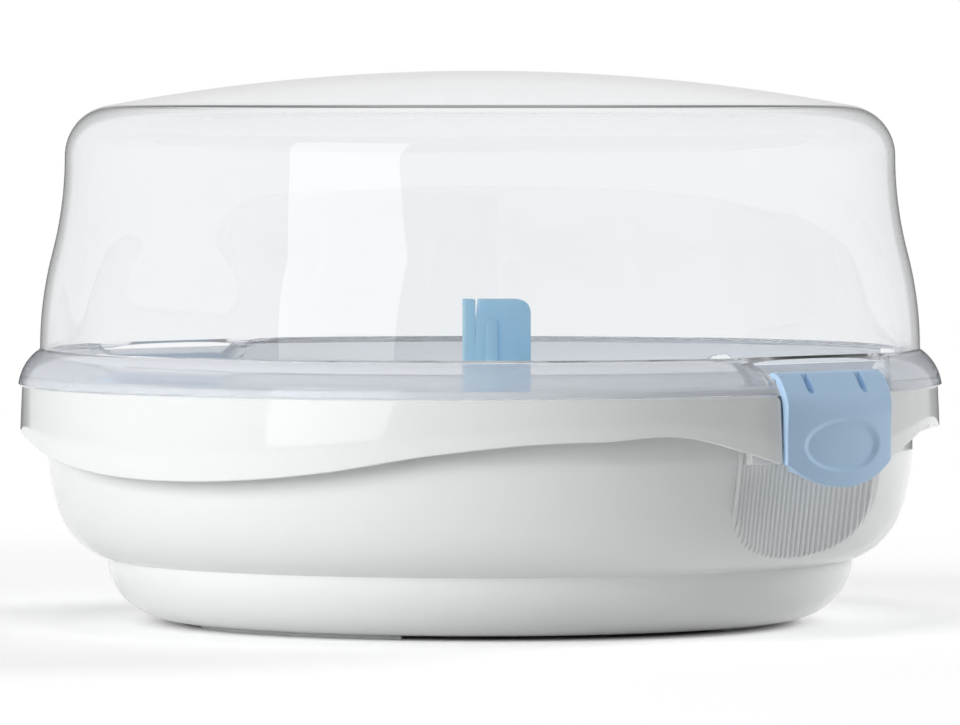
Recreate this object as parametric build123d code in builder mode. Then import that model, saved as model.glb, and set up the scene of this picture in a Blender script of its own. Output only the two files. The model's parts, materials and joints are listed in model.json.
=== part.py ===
"""Microwave steam sterilizer for baby bottles, closed, on its feet.

Millimetres, +Z up. The origin is on the table under the centre of the base.
The two clips face +X and -X. Radii are measured from the Z axis.
"""
from build123d import *
from math import cos, degrees, radians, sin, sqrt, tan
import os

# Base: bowl in two tiers, each radius stepping in from the one above it
base_wall = 2.4
bowl_radius = 130.4
bowl_radius_height = 51.0
knee_inset = 3.2
knee_height = 34.0
tier_inset = 14.6
tier_height = 19.3
tier_slope = 19.0
floor_inset = 19.2

# Base: feet
foot_height = 1.3
foot_inset = 3.0
foot_width = 6.0
foot_half_angle = 26.0
foot_angles = (30.0, 150.0, 270.0)

# Base: flange, locating lip and the band with its wavy lower edge
rim_height = 71.5
flange_thickness = 2.4
lip_rise = 1.9
lip_thickness = 2.2
lip_clearance = 0.9
band_overhang = 8.9
band_flare = 1.3
band_flare_depth = 29.52
band_thickness = 2.3
band_side_gap = 0.8
# Depth of the band's edge below the rim, midway between the clips and then towards each clip
band_middle_depth = 24.6
band_edge_angles = (68.0, 54.0, 35.0, 20.0, 10.5)
band_edge_depths = (21.1, 15.7, 12.3, 13.3, 19.7)
band_end_direction = (0.25, -1)

# Base: landing behind each clip, and the ribbed finger scoop under it
landing_margin = 5.8
landing_depth = 19.9
landing_reach = 2.1
scoop_curve_radius = 200.0
scoop_inset = 7.1
scoop_slant = 7.6
scoop_bottom = 14.0
scoop_top_depth = 7.5
scoop_margin = 8.0
grip_rib_radius = 0.85
grip_rib_pitch = 2.25
grip_rib_count = 29

# Lid
lid_wall = 2.2
lid_setback = 0.1
skirt_lean = 6.6
skirt_rise = 11.0
skirt_start_direction = (-0.1, 1)
wall_lean = 7.5
corner_radius = 15.5
dome_radius = 610.0
lid_height = 94.5
flat_inset = 5.1
flat_draft = 1.5
flat_bottom_rise = 2.7
lid_side_gap = 2.2
skirt_end_radius = 11.0

# Clips and the bar that each one hinges on
clip_width = 48.4
clip_thickness = 2.2
clip_proud = 0.7
clip_bend_depth = 11.5
clip_side_depth = 19.7
clip_depth = 26.9
knuckle_radius = 3.0
knuckle_gap = 1.7
hinge_rise = 3.7
hinge_bar_radius = 1.2
running_clearance = 0.05
leaf_angle = 33.0
catch_inset = 6.2
catch_drop = 1.0
catch_height = 2.4
catch_clearance = 0.4
window_offset = 12.4
window_width = 3.2
window_wall = 0.5
window_depth_below_rim = 0.2
dimple_margin = 7.7
dimple_height = 14.6
dimple_depth_below_rim = 14.7
dimple_sink = 0.6

# Tray
tray_lap = 0.8
tray_rise = 3.3
tray_thickness = 2.4
tray_rim_height = 7.0
tray_rim_thickness = 2.0
bottle_inset = 51.4
bottle_ring_radius = 31.0
bottle_ring_thickness = 2.4
bottle_ring_height = 4.0
bottle_slot_length = 14.0
steam_slot_width = 4.0
edge_slot_inset = 12.4
edge_slot_length = 11.0
edge_slot_count = 24
peg_offset = 14.0
peg_radius = 5.0
peg_height = 24.0
hub_height = 13.0
hub_wall = 2.2

# Tongs, upright through the middle of the tray
tongs_turn = 45.0
tongs_offset = 5.0
tongs_width = 20.0
tongs_depth = 10.0
tongs_thickness = 2.0
tongs_length = 93.0
tongs_floor_gap = 0.5
tongs_slot_clearance = 0.6
bow_height = 12.0
living_hinge_gap = 0.3
arm_corner = 4.0
tine_width = 3.3
slit_width = 1.3
slit_depth = 11.6
arm_rib_width = 3.6
arm_rib_sink = 6.0
arm_rib_height = 0.7

# How far a cutting shape runs past the face that it cuts
cut_overrun = 1.0

# Radii that follow from the bowl's
knee_radius = bowl_radius - knee_inset
tier_radius = knee_radius - tier_inset
floor_radius = tier_radius - floor_inset
foot_radius = floor_radius - foot_inset
landing_radius = bowl_radius + landing_reach
scoop_distance = bowl_radius - scoop_inset
band_radius = bowl_radius + band_overhang
band_top_radius = band_radius - band_flare
lid_radius = band_radius - lid_setback
skirt_top_radius = lid_radius - skirt_lean
shoulder_radius = skirt_top_radius - wall_lean
flat_distance = skirt_top_radius - flat_inset
lip_outer = lid_radius - lid_wall - lip_clearance
clip_face = band_radius + clip_proud
hinge_x = flat_distance + knuckle_radius + knuckle_gap
reach = 2 * clip_face
tray_radius = tier_radius + tray_lap
edge_slot_circle = tray_radius - edge_slot_inset
bottle_circle = tray_radius - bottle_inset
peg_circle = bottle_circle + peg_offset

# Heights that follow from the rim's and the tier's
lid_top = rim_height + lid_height
hinge_z = rim_height + hinge_rise
landing_bottom = rim_height - landing_depth
scoop_top = rim_height - scoop_top_depth
flat_bottom = rim_height + flat_bottom_rise
catch_depth = landing_depth + catch_drop
floor_top = foot_height + base_wall
tray_height = tier_height + tray_rise

# Widths that follow from the clip's
band_gap = clip_width / 2 + band_side_gap
lid_gap = clip_width / 2 + lid_side_gap
landing_half_width = clip_width / 2 + landing_margin
scoop_half_width = landing_half_width + scoop_margin
catch_half_width = clip_width / 2 - catch_inset
dimple_width = clip_width - 2 * dimple_margin

# The lid's corner is tangent to its upright wall and to its dome, which fixes where they meet
dome_centre = lid_top - dome_radius
corner_centre_radius = shoulder_radius - corner_radius
corner_centre_rise = sqrt((dome_radius - corner_radius) ** 2 - corner_centre_radius ** 2)
shoulder_height = dome_centre + corner_centre_rise
dome_share = dome_radius / (dome_radius - corner_radius)
dome_edge = (corner_centre_radius * dome_share, dome_centre + corner_centre_rise * dome_share)


def moved(arc, inset):
    """The same arc moved to its left by inset, as a wall's inner face lies inside its outer one."""
    start = arc @ 0 + (arc % 0).rotate(Axis.Z, 90) * inset
    end = arc @ 1 + (arc % 1).rotate(Axis.Z, 90) * inset
    return TangentArc(start, end, tangent=arc % 0)


def bowl_section(top, inset):
    """Right half of the bowl up to the height top, filled to the axis, and inset all round."""
    with BuildSketch(Plane.XZ) as section:
        with BuildLine():
            start = (floor_radius, foot_height + inset)
            lower = TangentArc(start, (tier_radius - inset, tier_height), tangent=(1, 0))
            Polyline(
                lower @ 1, (tier_radius - inset, knee_height), (0, knee_height),
                (0, start[1]), start,
            )
        make_face()
        with BuildLine():
            slope = (cos(radians(tier_slope)), sin(radians(tier_slope)))
            outer_tier = TangentArc(
                (tier_radius, tier_height), (knee_radius, knee_height),
                tangent=slope, mode=Mode.PRIVATE,
            )
            outer_side = TangentArc(
                outer_tier @ 1, (bowl_radius, bowl_radius_height),
                tangent=outer_tier % 1, mode=Mode.PRIVATE,
            )
            tier = moved(outer_tier, inset)
            side = moved(outer_side, inset)
            Polyline(
                side @ 1, (bowl_radius - inset, top), (0, top),
                (0, (tier @ 0).Y), tier @ 0,
            )
        make_face()
    return section.sketch


def scoop(inset, rib_count):
    """Space in front of the +X finger scoop, its surface moved in by inset, with ribs standing in it."""
    middle = (scoop_bottom + scoop_top) / 2
    slant = radians(scoop_slant)
    above_middle = landing_bottom - middle
    leaning = Plane(
        origin=(
            scoop_distance - inset + scoop_curve_radius / cos(slant) - above_middle * tan(slant),
            0, middle,
        ),
        x_dir=(cos(slant), 0, -sin(slant)),
        z_dir=(sin(slant), 0, cos(slant)),
    )
    span = degrees(grip_rib_pitch / scoop_curve_radius) * (grip_rib_count - 1)
    with BuildPart() as space:
        with BuildSketch(leaning):
            Circle(scoop_curve_radius)
            if rib_count:
                with PolarLocations(
                    scoop_curve_radius, rib_count, start_angle=180 - span / 2,
                    angular_range=span, endpoint=True,
                ):
                    Circle(grip_rib_radius, mode=Mode.SUBTRACT)
        extrude(amount=rim_height, both=True)
        with Locations((clip_face, 0, middle)):
            Box(
                clip_face, 2 * scoop_half_width, scoop_top - scoop_bottom,
                mode=Mode.INTERSECT,
            )
        with Locations((clip_face, 0, landing_bottom + inset)):
            Box(
                reach, 2 * landing_half_width, rim_height,
                align=(Align.CENTER, Align.CENTER, Align.MIN), mode=Mode.SUBTRACT,
            )
    return space.part


# Base
bowl_top = rim_height - flange_thickness / 2
with BuildPart() as bowl_body:
    add(bowl_section(bowl_top, 0))
    revolve(axis=Axis.Z)

ribbed_scoop = scoop(0, grip_rib_count)
scoop_wall = scoop(base_wall, 0)
with BuildPart() as bowl_cavity:
    add(bowl_section(lid_top, base_wall))
    revolve(axis=Axis.Z)
    add(scoop_wall, mode=Mode.SUBTRACT)
    add(mirror(scoop_wall, about=Plane.YZ, mode=Mode.PRIVATE), mode=Mode.SUBTRACT)

# Flange, lip and hanging band, cut to the wavy edge and opened behind each clip
with BuildPart() as rim_ring:
    with BuildSketch(Plane.XZ):
        lowest = rim_height - band_flare_depth
        with BuildLine():
            Polyline(
                (bowl_radius - base_wall, rim_height),
                (lip_outer - lip_thickness, rim_height),
                (lip_outer - lip_thickness, rim_height + lip_rise),
                (lip_outer, rim_height + lip_rise),
                (lip_outer, rim_height),
                (band_top_radius, rim_height),
                (band_radius, lowest),
                (band_radius - band_thickness, lowest),
                (band_top_radius - band_thickness, rim_height - flange_thickness),
                (bowl_radius - base_wall, rim_height - flange_thickness),
                close=True,
            )
        make_face()
    revolve(axis=Axis.Z)
    with BuildSketch(Plane.XZ):
        edge_points = [(0, rim_height - band_middle_depth)]
        for angle, depth in zip(band_edge_angles, band_edge_depths):
            edge_points.append((band_radius * cos(radians(angle)), rim_height - depth))
        with BuildLine():
            wave = Spline(*edge_points, tangents=((1, 0), band_end_direction))
            Polyline(wave @ 1, (reach, edge_points[-1][1]), (reach, 0), (0, 0))
            mirror(about=Plane.YZ)
        make_face()
    extrude(amount=reach, both=True, mode=Mode.SUBTRACT)
    for side in (-1, 1):
        with Locations((side * (bowl_radius + reach / 2), 0, rim_height / 2)):
            Box(reach, 2 * band_gap, 2 * rim_height, mode=Mode.SUBTRACT)

# Landing that the clip's catch comes to, behind each clip
with BuildPart() as landings:
    with BuildSketch(Plane.XY.offset(landing_bottom)):
        Circle(landing_radius)
        Circle(bowl_radius - base_wall, mode=Mode.SUBTRACT)
        Rectangle(reach, 2 * landing_half_width, mode=Mode.INTERSECT)
    extrude(amount=landing_depth - flange_thickness / 2)

with BuildPart() as feet:
    with BuildSketch():
        for angle in foot_angles:
            with BuildLine():
                CenterArc(
                    (0, 0), foot_radius - foot_width / 2,
                    angle - foot_half_angle, 2 * foot_half_angle,
                )
            trace(line_width=foot_width)
    extrude(amount=foot_height + base_wall / 2)

with BuildPart() as base:
    add(bowl_body.part)
    add(ribbed_scoop, mode=Mode.SUBTRACT)
    add(mirror(ribbed_scoop, about=Plane.YZ, mode=Mode.PRIVATE), mode=Mode.SUBTRACT)
    add(landings.part)
    add(rim_ring.part)
    add(feet.part)
    add(bowl_cavity.part, mode=Mode.SUBTRACT)
base.part.label = "base"


# Lid
def lid_section(bottom, inset):
    """Right half of the lid down to the height bottom, filled to the axis, and inset all round."""
    skirt_top = rim_height + skirt_rise
    with BuildSketch(Plane.XZ) as section:
        with BuildLine():
            outer_skirt = TangentArc(
                (lid_radius, rim_height), (skirt_top_radius, skirt_top),
                tangent=skirt_start_direction, mode=Mode.PRIVATE,
            )
            skirt = moved(outer_skirt, inset)
            Polyline(
                skirt @ 1, (0, (skirt @ 1).Y), (0, bottom),
                (lid_radius - inset, bottom), skirt @ 0,
            )
        make_face()
        with BuildLine():
            middle = (
                (skirt_top_radius + shoulder_radius) / 2, (skirt_top + shoulder_height) / 2,
            )
            shoulder = (shoulder_radius, shoulder_height)
            outer_bulge = TangentArc(
                (skirt_top_radius, skirt_top), middle, tangent=(0, 1), mode=Mode.PRIVATE,
            )
            outer_waist = TangentArc(
                middle, shoulder, tangent=outer_bulge % 1, mode=Mode.PRIVATE,
            )
            outer_corner = TangentArc(shoulder, dome_edge, tangent=(0, 1), mode=Mode.PRIVATE)
            outer_dome = TangentArc((0, lid_top), dome_edge, tangent=(1, 0), mode=Mode.PRIVATE)
            bulge = moved(outer_bulge, inset)
            moved(outer_waist, inset)
            moved(outer_corner, inset)
            dome = moved(outer_dome, -inset)
            Polyline(dome @ 0, (0, bottom), ((bulge @ 0).X, bottom), bulge @ 0)
        make_face()
    return section.sketch


def outside_clip_gap(inset):
    """Everything beyond the upright flat above one clip, and the gap in the skirt below it."""
    skirt_top = rim_height + skirt_rise
    with BuildPart() as beyond:
        with BuildSketch(Plane.XZ):
            with BuildLine():
                Polyline(
                    (flat_distance - inset, 0),
                    (flat_distance - inset, flat_bottom),
                    (flat_distance - inset - flat_draft, shoulder_height),
                    (reach, shoulder_height),
                    (reach, 0),
                    close=True,
                )
            make_face()
        extrude(amount=reach, both=True)
        with BuildSketch(Plane.YZ):
            half = lid_gap + inset
            round_end = skirt_end_radius - inset
            with BuildLine():
                Polyline((0, 0), (half, 0), (half, skirt_top - round_end - inset))
                RadiusArc(
                    (half, skirt_top - round_end - inset),
                    (half + round_end, skirt_top - inset), round_end,
                )
                Polyline(
                    (half + round_end, skirt_top - inset), (reach, skirt_top - inset),
                    (reach, reach), (0, reach), (0, 0),
                )
            make_face()
            mirror(about=Plane.YZ)
        extrude(amount=2 * reach, mode=Mode.INTERSECT)
    return beyond.part


with BuildPart() as lid_cavity:
    add(lid_section(0, lid_wall))
    revolve(axis=Axis.Z)
    inner_gap = outside_clip_gap(lid_wall)
    add(inner_gap, mode=Mode.SUBTRACT)
    add(mirror(inner_gap, about=Plane.YZ, mode=Mode.PRIVATE), mode=Mode.SUBTRACT)
    with BuildSketch():
        Circle(lip_outer + lip_clearance / 2)
    extrude(amount=flat_bottom)

with BuildPart() as lid:
    add(lid_section(0, 0))
    revolve(axis=Axis.Z)
    split(bisect_by=Plane.XY.offset(rim_height), keep=Keep.TOP)
    outer_gap = outside_clip_gap(0)
    add(outer_gap, mode=Mode.SUBTRACT)
    add(mirror(outer_gap, about=Plane.YZ, mode=Mode.PRIVATE), mode=Mode.SUBTRACT)
    add(lid_cavity.part, mode=Mode.SUBTRACT)
    with Locations((hinge_x, 0, hinge_z), (-hinge_x, 0, hinge_z)):
        Cylinder(hinge_bar_radius, 2 * lid_gap + lid_wall, rotation=(90, 0, 0))
lid.part.label = "lid"

# Clips
clip_bottom = rim_height - clip_depth
with BuildPart() as dimple:
    with BuildSketch(Plane.YZ):
        with Locations((0, rim_height - dimple_depth_below_rim)):
            Ellipse(dimple_width / 2, dimple_height / 2)
    extrude(amount=reach)
    Cylinder(clip_face - dimple_sink, 2 * reach, mode=Mode.SUBTRACT)

with BuildPart() as clip_right:
    away = (cos(radians(leaf_angle)), sin(radians(leaf_angle)))
    along = (away[1], -away[0])
    with BuildSketch(Plane.XZ):
        with BuildLine():
            leave = (hinge_x + knuckle_radius * away[0], hinge_z + knuckle_radius * away[1])
            depart = knuckle_radius - clip_thickness
            arrive = (hinge_x + depart * away[0], hinge_z + depart * away[1])
            bend = rim_height - clip_bend_depth
            outer = TangentArc(leave, (clip_face, bend), tangent=along)
            inner = TangentArc(arrive, (clip_face - clip_thickness, bend), tangent=along)
            Polyline(
                outer @ 1, (clip_face, clip_bottom),
                (clip_face - clip_thickness, clip_bottom), inner @ 1,
            )
            Line(arrive, leave)
        make_face()
    revolve(axis=Axis.Z, revolution_arc=360)
    with BuildSketch(Plane.XZ):
        catch_inner = landing_radius + catch_clearance
        catch_top = rim_height - catch_depth
        with BuildLine():
            Polyline(
                (clip_face - clip_thickness / 2, catch_top),
                (catch_inner, catch_top),
                (catch_inner, catch_top - catch_height / 2),
                (clip_face - clip_thickness / 2, catch_top - catch_height),
                close=True,
            )
        make_face()
    extrude(amount=catch_half_width, both=True)
    with BuildSketch(Plane.YZ):
        half = clip_width / 2
        side_end = rim_height - clip_side_depth
        top = hinge_z + knuckle_radius
        with BuildLine():
            ThreePointArc((-half, side_end), (0, clip_bottom), (half, side_end))
            Polyline((half, side_end), (half, top), (-half, top), (-half, side_end))
        make_face()
    extrude(amount=reach, mode=Mode.INTERSECT)
    with Locations((hinge_x, 0, hinge_z)):
        Cylinder(knuckle_radius, clip_width, rotation=(90, 0, 0))
    with Locations((hinge_x, 0, hinge_z)):
        Cylinder(
            hinge_bar_radius + running_clearance, clip_width + 2 * cut_overrun,
            rotation=(90, 0, 0), mode=Mode.SUBTRACT,
        )
    window_floor = rim_height + window_depth_below_rim
    window_start = hinge_x + hinge_bar_radius + window_wall
    for side in (-1, 1):
        with Locations((window_start, side * window_offset, window_floor)):
            Box(
                reach, window_width, knuckle_radius + hinge_rise + cut_overrun,
                align=(Align.MIN, Align.CENTER, Align.MIN), mode=Mode.SUBTRACT,
            )
    add(dimple.part, mode=Mode.SUBTRACT)
clip_right.part.label = "clip_right"

with BuildPart() as clip_left:
    mirror(clip_right.part, about=Plane.YZ)
clip_left.part.label = "clip_left"

# Tongs: a bow at the bottom and two arms that flex on it
tongs_bottom = floor_top + tongs_floor_gap
tongs_place = Plane.XY.rotated((0, 0, tongs_turn))
arm_bottom = tongs_bottom + bow_height + living_hinge_gap
arm_top = tongs_bottom + tongs_length


def tongs_arm(name, side):
    """One arm: side is -1 for the front one and 1 for the rear one."""
    left = tongs_offset - tongs_width / 2
    right = tongs_offset + tongs_width / 2
    face = Plane(origin=(0, 0, 0), x_dir=(cos(radians(tongs_turn)), sin(radians(tongs_turn)), 0),
                 z_dir=(side * -sin(radians(tongs_turn)), side * cos(radians(tongs_turn)), 0))
    flip = -side
    with BuildPart() as arm:
        with BuildSketch(face.offset(tongs_depth / 2 - tongs_thickness)):
            with BuildLine():
                Polyline(
                    (left, flip * arm_bottom), (right, flip * arm_bottom),
                    (right, flip * (arm_top - arm_corner)),
                )
                ThreePointArc(
                    (right, flip * (arm_top - arm_corner)),
                    (right - arm_corner * (1 - cos(radians(45))),
                     flip * (arm_top - arm_corner * (1 - sin(radians(45))))),
                    (right - arm_corner, flip * arm_top),
                )
                Polyline(
                    (right - arm_corner, flip * arm_top),
                    (left + tine_width + slit_width, flip * arm_top),
                    (left + tine_width, flip * (arm_top - slit_depth)),
                    (left + tine_width, flip * arm_top),
                    (left, flip * arm_top),
                    (left, flip * arm_bottom),
                )
            make_face()
        extrude(amount=tongs_thickness)
        rib_middle = (arm_bottom + arm_top - arm_rib_sink) / 2
        with BuildSketch(face.offset(tongs_depth / 2)):
            with Locations((tongs_offset - arm_rib_width / 2, flip * rib_middle)):
                RectangleRounded(
                    arm_rib_width, arm_top - arm_rib_sink - arm_bottom, arm_rib_width / 3,
                )
        extrude(amount=arm_rib_height)
    arm.part.label = name
    return arm


tongs_arm_front = tongs_arm("tongs_arm_front", -1)
tongs_arm_rear = tongs_arm("tongs_arm_rear", 1)

with BuildPart() as tongs_bow:
    bow_plane = Plane(
        origin=(
            (tongs_offset - tongs_width / 2) * cos(radians(tongs_turn)),
            (tongs_offset - tongs_width / 2) * sin(radians(tongs_turn)), 0,
        ),
        x_dir=(-sin(radians(tongs_turn)), cos(radians(tongs_turn)), 0),
        z_dir=(cos(radians(tongs_turn)), sin(radians(tongs_turn)), 0),
    )
    with BuildSketch(bow_plane):
        outer_bend = tongs_depth / 2
        inner_bend = outer_bend - tongs_thickness
        with Locations((0, tongs_bottom + outer_bend)):
            Circle(outer_bend)
            Rectangle(tongs_depth, bow_height - outer_bend, align=(Align.CENTER, Align.MIN))
            Circle(inner_bend, mode=Mode.SUBTRACT)
            Rectangle(
                2 * inner_bend, bow_height, align=(Align.CENTER, Align.MIN), mode=Mode.SUBTRACT,
            )
    extrude(amount=tongs_width)
tongs_bow.part.label = "tongs_bow"

# Tray: perforated rack that lies on the step between the base's two tiers
hub_length = tongs_width + 2 * (tongs_slot_clearance + hub_wall)
hub_depth = tongs_depth + 2 * (arm_rib_height + tongs_slot_clearance + hub_wall)
with BuildPart() as tray:
    with BuildSketch(Plane.XY.offset(tray_height)):
        Circle(tray_radius)
    extrude(amount=tray_thickness)
    with BuildSketch(Plane.XY.offset(tray_height)):
        Circle(tray_radius)
        Circle(tray_radius - tray_rim_thickness, mode=Mode.SUBTRACT)
    extrude(amount=tray_rim_height)
    with BuildSketch(Plane.XY.offset(tray_height)):
        with PolarLocations(bottle_circle, 4):
            Circle(bottle_ring_radius)
            Circle(bottle_ring_radius - bottle_ring_thickness, mode=Mode.SUBTRACT)
    extrude(amount=tray_thickness + bottle_ring_height)
    with BuildSketch(Plane.XY.offset(tray_height)):
        with PolarLocations(peg_circle, 4, start_angle=45):
            Circle(peg_radius)
    extrude(amount=tray_thickness + peg_height)
    fillet(tray.faces().filter_by(Plane.XY).sort_by(Axis.Z)[-4:].edges(), peg_radius / 3)
    with BuildSketch(tongs_place.offset(tray_height)):
        with Locations((tongs_offset, 0)):
            RectangleRounded(hub_length, hub_depth, hub_wall + tongs_slot_clearance)
    extrude(amount=tray_thickness + hub_height)
    with BuildSketch(Plane.XY.offset(tray_height)):
        for quarter in range(4):
            turn = radians(90 * quarter)
            with Locations((bottle_circle * cos(turn), bottle_circle * sin(turn))):
                with PolarLocations(bottle_ring_radius / 2 + steam_slot_width / 2, 8):
                    SlotOverall(bottle_slot_length, steam_slot_width)
        with PolarLocations(edge_slot_circle, edge_slot_count, start_angle=180 / edge_slot_count):
            SlotOverall(edge_slot_length, steam_slot_width)
    extrude(amount=tray_thickness, mode=Mode.SUBTRACT)
    with BuildSketch(tongs_place.offset(tray_height)):
        with Locations((tongs_offset, 0)):
            Rectangle(hub_length - 2 * hub_wall, hub_depth - 2 * hub_wall)
    extrude(amount=tray_thickness + hub_height, mode=Mode.SUBTRACT)
tray.part.label = "tray"

os.makedirs("parts", exist_ok=True)
for piece in (base, tray, lid, clip_right, clip_left, tongs_bow, tongs_arm_front, tongs_arm_rear):
    export_step(piece.part, f"parts/{piece.part.label}.step")
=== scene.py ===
"""Studio picture of a microwave steam sterilizer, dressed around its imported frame.

Metres, +Z up, with the origin on the table under the centre of the base and a clip at each end of
the X axis. The sizes of the mouldings are in millimetres, as on the real object, and become metres
where a mesh is made.
"""
import json
from math import asin, atan2, cos, hypot, pi, radians, sin, sqrt, tan

import bpy
from mathutils import Matrix, Vector

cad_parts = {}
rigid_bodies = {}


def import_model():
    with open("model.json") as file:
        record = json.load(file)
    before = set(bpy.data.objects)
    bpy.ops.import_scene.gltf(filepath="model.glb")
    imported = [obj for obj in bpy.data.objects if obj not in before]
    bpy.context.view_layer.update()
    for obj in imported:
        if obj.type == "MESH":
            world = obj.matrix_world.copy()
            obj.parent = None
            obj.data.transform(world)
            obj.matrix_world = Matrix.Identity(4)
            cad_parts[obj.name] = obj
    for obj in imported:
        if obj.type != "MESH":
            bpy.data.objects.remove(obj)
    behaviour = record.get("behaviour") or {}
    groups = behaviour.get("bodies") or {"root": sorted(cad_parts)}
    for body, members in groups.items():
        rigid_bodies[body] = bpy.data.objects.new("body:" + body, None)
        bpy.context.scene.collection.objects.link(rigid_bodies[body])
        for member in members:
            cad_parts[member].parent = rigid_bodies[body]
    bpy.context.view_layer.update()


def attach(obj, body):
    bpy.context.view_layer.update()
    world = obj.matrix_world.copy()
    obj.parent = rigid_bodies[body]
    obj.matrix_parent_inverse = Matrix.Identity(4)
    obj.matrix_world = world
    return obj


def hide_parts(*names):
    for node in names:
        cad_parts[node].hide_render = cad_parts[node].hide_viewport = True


for left_over in list(bpy.data.objects):
    bpy.data.objects.remove(left_over)
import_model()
MM = 0.001

# Base
base_wall = 2.4
foot_height = 1.3
foot_radius = 90.4
foot_width = 6.0
foot_half_span = 26.0
foot_angles = (30.0, 150.0, 270.0)
floor_radius = 93.4
tier_radius = 112.6
tier_height = 19.3
tier_slope = 19.0
knee = (127.2, 34.0)
bowl_radius = 130.4
bowl_radius_height = 51.0
bowl_straight = 2.0
rim_height = 71.5
flange_thickness = 2.4
lip_rise = 1.9
lip_thickness = 2.2
lip_outer = 136.1
band_top_radius = 138.0
band_radius = 139.3
band_thickness = 2.3
band_reach = 29.5
band_gap = 25.0
band_end_radius = 2.0
edge_radius = 0.5
inner_corner_radius = 0.3
foot_edge = 0.4
# Angle from the clip axis, and depth of the band's edge below the rim
band_edge = ((90.0, 24.6), (68.0, 21.1), (54.0, 15.7), (35.0, 12.3), (20.0, 13.3), (10.5, 19.7))
band_edge_end_slope = 1.6
band_edge_overrun = 1.2
landing_half_width = 30.0
landing_depth = 19.9
landing_radius = 132.5
landing_root = 6.0
scoop_curve = 200.0
scoop_distance = 123.3
scoop_slant = radians(7.6)
scoop_bottom = 14.0
scoop_top = 64.0
scoop_half_width = 38.0
scoop_margin = 2.0
grip_rib_radius = 0.85
grip_rib_pitch = 2.25
grip_rib_count = 29

# Lid
lid_wall = 2.2
lid_radius = 139.2
skirt_top_radius = 132.6
skirt_rise = 11.0
skirt_lean = 0.1
shoulder_radius = 125.1
corner_radius = 15.5
dome_radius = 610.0
lid_top = 166.0
flat_distance = 127.5
flat_draft = 1.5
flat_bottom_rise = 2.7
flat_edge_blend = 3.5
lid_gap = 26.4
skirt_end_radius = 11.0
lip_clearance = 0.45
cutter_reach = 10.0
# Depths below the skirt's top where its milky finish begins and where it is full
milk_start = 0.6
milk_full = 1.2

# Clips
clip_width = 48.4
clip_thickness = 2.2
clip_face = 140.0
clip_bend_depth = 11.5
clip_side_depth = 19.7
clip_depth = 26.9
knuckle_radius = 3.0
hinge_x = 132.2
hinge_z = 75.2
hinge_bar_radius = 1.2
running_clearance = 0.05
leaf_angle = radians(33.0)
catch_half_width = 18.0
catch_depth = 20.9
catch_height = 2.4
catch_clearance = 0.4
catch_root = 0.8
window_offset = 12.4
window_width = 3.2
window_wall = 0.5
window_rise = 0.2
dimple_width = 33.0
dimple_height = 14.6
dimple_depth_below_rim = 14.7
dimple_sink = 0.9
dimple_edge = 1.5
bend_share = 0.42
leaf_edge = 0.6
knuckle_edge = 0.5
catch_edge = 0.3
bore_margin = 2.0

# Tray
tray_radius = 113.4
tray_thickness = 2.4
tray_height = 22.6
tray_rim_height = 7.0
tray_rim_thickness = 2.0
tray_edge = 0.7
tray_foot_edge = 0.6
tray_inner_radius = 1.2
bottle_circle = 62.0
bottle_ring_radius = 31.0
bottle_ring_thickness = 2.4
bottle_ring_height = 4.0
bottle_slot_length = 14.0
steam_slot_width = 4.0
slot_margin = 1.0
slot_flare = 0.4
edge_slot_circle = 101.0
edge_slot_length = 11.0
edge_slot_count = 24
peg_circle = 76.0
peg_radius = 5.0
peg_height = 24.0
hub_height = 13.0
hub_wall = 2.2
hub_edge = 0.6
union_overlap = 0.6

# Tongs
tongs_turn = radians(45.0)
tongs_offset = 5.0
tongs_width = 20.0
tongs_depth = 10.0
tongs_thickness = 2.0
tongs_length = 93.0
tongs_bottom = 4.2
tongs_slot_clearance = 0.6
bow_height = 12.0
living_hinge_gap = 0.3
arm_corner = 4.0
tine_width = 3.3
slit_width = 1.3
slit_depth = 11.6
slit_lean = 0.05
arm_rib_width = 3.6
arm_rib_sink = 6.0
arm_rib_height = 0.7
arm_rib_foot = 1.0
arm_rib_overlap = 0.2
arm_rib_edge = 0.18
tongs_edge = 0.35

# Sizes that follow
arm_bottom = tongs_bottom + bow_height + living_hinge_gap
arm_top = tongs_bottom + tongs_length
tongs_along = Vector((cos(tongs_turn), sin(tongs_turn), 0))
tongs_across = Vector((-sin(tongs_turn), cos(tongs_turn), 0))
far = 2 * clip_face
landing_bottom = rim_height - landing_depth
skirt_top = rim_height + skirt_rise
flat_bottom = rim_height + flat_bottom_rise
dome_centre = lid_top - dome_radius
corner_centre_radius = shoulder_radius - corner_radius
corner_centre_rise = sqrt((dome_radius - corner_radius) ** 2 - corner_centre_radius ** 2)
shoulder_height = dome_centre + corner_centre_rise
dome_share = dome_radius / (dome_radius - corner_radius)
dome_edge = (corner_centre_radius * dome_share, dome_centre + corner_centre_rise * dome_share)


# Modelling
def tangent_arc(start, end, heading, steps, inset=0.0):
    """Points on the arc that leaves start along heading and ends at end, moved left by inset.

    The second result is the heading at its end.
    """
    length = hypot(*heading)
    tx, ty = heading[0] / length, heading[1] / length
    cx, cy = end[0] - start[0], end[1] - start[1]
    across = -ty * cx + tx * cy
    turn = 2 * atan2(across, tx * cx + ty * cy)
    radius = (cx * cx + cy * cy) / (2 * across)
    points = []
    for step in range(steps + 1):
        a = turn * step / steps
        normal = (-ty * cos(a) - tx * sin(a), tx * cos(a) - ty * sin(a))
        points.append((
            start[0] - ty * radius - normal[0] * (radius - inset),
            start[1] + tx * radius - normal[1] * (radius - inset),
        ))
    return points, (tx * cos(turn) - ty * sin(turn), ty * cos(turn) + tx * sin(turn))


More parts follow.
